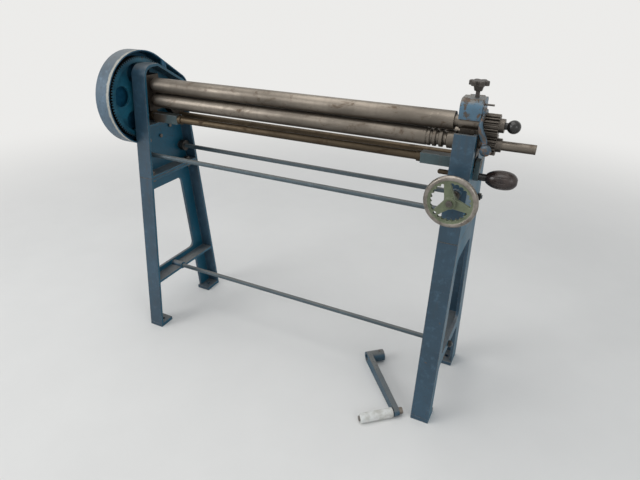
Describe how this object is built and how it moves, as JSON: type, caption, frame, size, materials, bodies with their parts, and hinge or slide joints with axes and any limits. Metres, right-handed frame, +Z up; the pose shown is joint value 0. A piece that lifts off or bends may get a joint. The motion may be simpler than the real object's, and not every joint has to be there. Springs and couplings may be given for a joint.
{
  "type": "slip roll machine",
  "caption": "Hand-driven slip roll on cast side frames: geared front rolls, a rear roll raised by a handwheel, hinged bearing cap, gear hood and a loose crank.",
  "frame": {"origin": "on the floor, in the middle of the rectangle of four floor bolts", "axes": "+X along the rolls towards the crank end, +Y from the working front to the back, +Z up"},
  "size_m": [1.437, 0.4958, 1.052],
  "materials": {
    "frame_paint": "worn gloss, chipped at the edges",
    "cap_paint": "worn gloss, chipped to brown",
    "hood_paint": "worn, dusty",
    "gear_paint": "worn paint, greasy teeth",
    "gear_steel": "dark and greasy",
    "roll_steel": "dull ground steel with rust streaks",
    "clamp_steel": "rusty brown",
    "block_iron": "machined, oily",
    "support_paint": "worn grey-green",
    "wheel_iron": "bare rim, olive paint inside",
    "fastener_steel": "dull",
    "black_plastic": "polished, scuffed",
    "crank_paint": "worn gloss",
    "rod_paint": "thin paint, rubbed",
    "lever_paint": "chipped to bare metal",
    "egg_plastic": "dark, polished by hands",
    "star_iron": "dark, rubbed",
    "white_plastic": "grubby"
  },
  "bodies": {
    "frame": {"left_stand": "frame_paint", "right_stand": "frame_paint", "left_head": "frame_paint", "right_head": "frame_paint", "left_lower_block": "block_iron", "left_upper_block": "block_iron", "right_block": "block_iron", "left_support": "support_paint", "right_support": "support_paint", "gear_hood": "hood_paint", "hood_screws": "fastener_steel", "front_tie_rod": "rod_paint", "rear_tie_rod": "rod_paint", "low_tie_rod": "rod_paint", "rod_collar": "gear_steel", "tie_rod_nuts": "fastener_steel", "frame_bolts": "fastener_steel", "frame_bolt_nuts": "fastener_steel", "stop_pin": "fastener_steel", "cap_hinge_pin": "fastener_steel"},
    "lower_roll_set": {"lower_roll": "roll_steel", "main_gear": "gear_paint", "lower_pinion": "gear_steel"},
    "upper_roll_set": {"upper_roll": "roll_steel", "upper_pinion": "gear_steel", "ball_knob": "black_plastic"},
    "drive_set": {"drive_shaft": "roll_steel", "drive_pinion": "gear_steel", "drive_collar": "gear_steel"},
    "lift_arms": {"pivot_shaft": "roll_steel", "left_arm": "block_iron", "right_arm": "block_iron"},
    "rear_roll_set": {"rear_roll": "roll_steel"},
    "lift_wheel": {"handwheel": "wheel_iron", "wheel_nut": "fastener_steel", "lift_screw": "fastener_steel", "screw_collar": "fastener_steel"},
    "lift_nut": {"screw_nut": "block_iron"},
    "clamp_set": {"clamp_shaft": "clamp_steel", "clamp_collars": "clamp_steel", "left_cam": "clamp_steel", "right_cam": "clamp_steel", "egg_arm": "support_paint", "egg_spindle": "fastener_steel"},
    "egg": {"egg_grip": "egg_plastic"},
    "cap": {"bearing_cap": "cap_paint", "tommy_pin": "fastener_steel", "lock_pin": "fastener_steel"},
    "star": {"star_knob": "star_iron"},
    "lock": {"lock_lever": "lever_paint", "lock_ball": "lever_paint"},
    "crank": {"crank_arm": "crank_paint", "crank_spindle": "fastener_steel", "crank_nut": "fastener_steel", "crank_set_screw": "fastener_steel"},
    "crank_handle": {"crank_grip": "white_plastic"}
  },
  "joints": [
    {"name": "lower_roll_spin", "type": "hinge", "parent": "frame", "child": "lower_roll_set", "pos_m": [0, -0.031, 0.89], "axis": [1, 0, 0], "continuous": true},
    {"name": "upper_roll_spin", "type": "hinge", "parent": "frame", "child": "upper_roll_set", "pos_m": [0, -0.031, 0.941], "axis": [1, 0, 0], "continuous": true},
    {"name": "drive_spin", "type": "hinge", "parent": "frame", "child": "drive_set", "pos_m": [-0.591, 0.143, 0.89], "axis": [1, 0, 0], "continuous": true},
    {"name": "handwheel_turn", "type": "hinge", "parent": "frame", "child": "lift_wheel", "pos_m": [0.552, -0.188, 0.762], "axis": [0, 1, 0], "range_deg": [-280, 1440]},
    {"name": "lift_arm_swing", "type": "hinge", "parent": "frame", "child": "lift_arms", "pos_m": [0, 0.092, 0.81], "axis": [-1, 0, 0], "range_deg": [-2, 10]},
    {"name": "lift_nut_slide", "type": "slide", "parent": "frame", "child": "lift_nut", "axis": [0, -1, 0], "range_m": [-0.0017, 0.0082]},
    {"name": "rear_roll_spin", "type": "hinge", "parent": "lift_arms", "child": "rear_roll_set", "pos_m": [0, 0.026, 0.89], "axis": [1, 0, 0], "continuous": true},
    {"name": "clamp_shaft_turn", "type": "hinge", "parent": "frame", "child": "clamp_set", "pos_m": [0, -0.033, 0.831], "axis": [-1, 0, 0], "range_deg": [0, 80]},
    {"name": "egg_grip_spin", "type": "hinge", "parent": "clamp_set", "child": "egg", "pos_m": [0.605, -0.04128, 0.80009], "axis": [1, 0, 0], "continuous": true},
    {"name": "cap_swing", "type": "hinge", "parent": "frame", "child": "cap", "pos_m": [0.523, 0.038, 0.951], "axis": [-1, 0, 0], "range_deg": [0, 110]},
    {"name": "star_knob_turn", "type": "hinge", "parent": "cap", "child": "star", "pos_m": [0.557, -0.016, 1], "axis": [0, 0, 1], "range_deg": [0, 720]},
    {"name": "lock_lever_swing", "type": "hinge", "parent": "cap", "child": "lock", "pos_m": [0.5855, -0.044, 0.974], "axis": [-1, 0, 0], "range_deg": [0, 100]},
    {"name": "crank_lift", "type": "slide", "parent": "frame", "child": "crank", "axis": [0, 0, 1], "range_m": [0, 0.12]},
    {"name": "crank_grip_spin", "type": "hinge", "parent": "crank", "child": "crank_handle", "pos_m": [0.47573, -0.19964, 0.016], "axis": [0.7581, 0.6521, 0], "continuous": true}
  ],
  "couplings": [
    {"joint": "upper_roll_spin", "follows": "lower_roll_spin", "ratio": -1},
    {"joint": "drive_spin", "follows": "lower_roll_spin", "ratio": -3.8333},
    {"joint": "lift_arm_swing", "follows": "handwheel_turn", "ratio": 0.0066315},
    {"joint": "lift_nut_slide", "follows": "handwheel_turn", "m_per_rad": 0.00031831}
  ]
}
